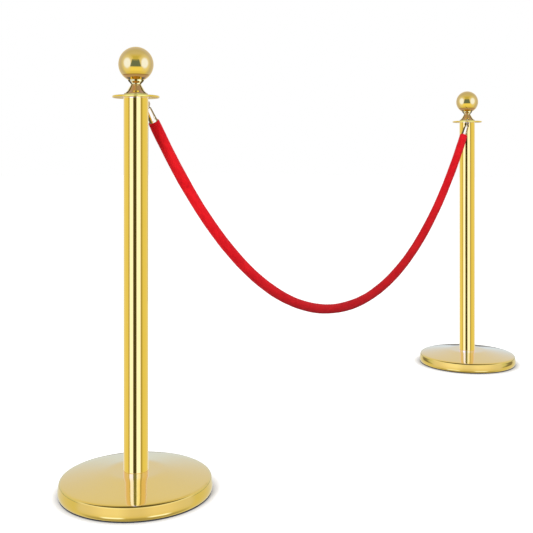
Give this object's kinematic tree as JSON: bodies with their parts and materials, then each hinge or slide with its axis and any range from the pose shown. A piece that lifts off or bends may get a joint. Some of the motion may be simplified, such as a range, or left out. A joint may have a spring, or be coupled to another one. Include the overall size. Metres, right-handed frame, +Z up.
{
  "type": "post and rope barrier",
  "caption": "Ball-topped posts on round weighted bases, joined by a hanging velvet rope with snap hooks in flat ring plates.",
  "frame": {"origin": "on the floor, midway between the two posts", "axes": "+X from the left post to the right post, +Y away from the front, +Z up; the set is unchanged by a half turn about Z"},
  "size_m": [1.784, 0.315, 0.915],
  "materials": {
    "polished_gold": "polished",
    "satin_gold": "satin",
    "hook_brass": "polished",
    "red_velvet": "matte",
    "cotton_core": "matte",
    "black_rubber": "matte",
    "concrete": "matte",
    "zinc_steel": "satin",
    "plain_steel": "satin",
    "spring_steel": "polished",
    "white_nylon": "satin"
  },
  "bodies": {
    "posts": {"left_base_cover": "satin_gold", "left_base_edge_ring": "black_rubber", "left_base_nut": "zinc_steel", "left_base_rod": "zinc_steel", "left_base_washer": "zinc_steel", "left_base_weight": "concrete", "left_rope_ring": "polished_gold", "left_tube": "polished_gold", "left_tube_foot_plug": "plain_steel", "left_tube_top_plug": "plain_steel", "right_base_cover": "satin_gold", "right_base_edge_ring": "black_rubber", "right_base_nut": "zinc_steel", "right_base_rod": "zinc_steel", "right_base_washer": "zinc_steel", "right_base_weight": "concrete", "right_rope_ring": "polished_gold", "right_tube": "polished_gold", "right_tube_foot_plug": "plain_steel", "right_tube_top_plug": "plain_steel"},
    "rope": {"rope_core": "cotton_core", "rope_cover": "red_velvet", "left_rope_ferrule": "hook_brass", "left_ferrule_rivet": "hook_brass", "right_rope_ferrule": "hook_brass", "right_ferrule_rivet": "hook_brass"},
    "left_hook": {"left_hook_body": "hook_brass", "left_gate_pin": "plain_steel", "left_gate_spring": "spring_steel"},
    "left_gate": {"left_hook_gate": "hook_brass"},
    "left_washer": {"left_finial_washer": "white_nylon"},
    "left_finial": {"left_finial_collar": "polished_gold", "left_finial_neck": "polished_gold", "left_finial_ball": "polished_gold", "left_finial_ball_nut": "plain_steel", "left_finial_stud": "zinc_steel"},
    "right_hook": {"right_hook_body": "hook_brass", "right_gate_pin": "plain_steel", "right_gate_spring": "spring_steel"},
    "right_gate": {"right_hook_gate": "hook_brass"},
    "right_washer": {"right_finial_washer": "white_nylon"},
    "right_finial": {"right_finial_collar": "polished_gold", "right_finial_neck": "polished_gold", "right_finial_ball": "polished_gold", "right_finial_ball_nut": "plain_steel", "right_finial_stud": "zinc_steel"}
  },
  "joints": [
    {"name": "rope_swing", "type": "hinge", "parent": "posts", "child": "rope", "pos_m": [-0.69456, 0.02338, 0.812], "axis": [0.9994, -0.0336, 0], "range_deg": [-20, 20]},
    {"name": "left_hook_swivel", "type": "hinge", "parent": "rope", "child": "left_hook", "pos_m": [-0.68165, 0.02295, 0.79083], "axis": [0.5208, -0.0175, -0.8535], "range_deg": [-12, 12]},
    {"name": "left_gate_open", "type": "hinge", "parent": "left_hook", "child": "left_gate", "pos_m": [-0.69166, 0.02328, 0.79362], "axis": [0.0336, 0.9994, 0], "range_deg": [0, 28], "stiffness_Nm_per_rad": 0.01, "deforming": ["left_gate_spring"]},
    {"name": "left_finial_lift", "type": "slide", "parent": "posts", "child": "left_washer", "axis": [0, 0, 1], "range_m": [0, 0.012]},
    {"name": "left_finial_turn", "type": "hinge", "parent": "left_washer", "child": "left_finial", "pos_m": [-0.7345, 0, 0.82], "axis": [0, 0, 1], "range_deg": [0, 2880]},
    {"name": "right_hook_swivel", "type": "hinge", "parent": "rope", "child": "right_hook", "pos_m": [0.68165, -0.02295, 0.79083], "axis": [-0.5208, 0.0175, -0.8535], "range_deg": [-12, 12]},
    {"name": "right_gate_open", "type": "hinge", "parent": "right_hook", "child": "right_gate", "pos_m": [0.69166, -0.02328, 0.79362], "axis": [-0.0336, -0.9994, 0], "range_deg": [0, 28], "stiffness_Nm_per_rad": 0.01, "deforming": ["right_gate_spring"]},
    {"name": "right_finial_lift", "type": "slide", "parent": "posts", "child": "right_washer", "axis": [0, 0, 1], "range_m": [0, 0.012]},
    {"name": "right_finial_turn", "type": "hinge", "parent": "right_washer", "child": "right_finial", "pos_m": [0.7345, 0, 0.82], "axis": [0, 0, 1], "range_deg": [0, 2880]}
  ],
  "couplings": [
    {"joint": "left_finial_lift", "follows": "left_finial_turn", "m_per_rad": 0.00023873},
    {"joint": "right_finial_lift", "follows": "right_finial_turn", "m_per_rad": 0.00023873}
  ]
}
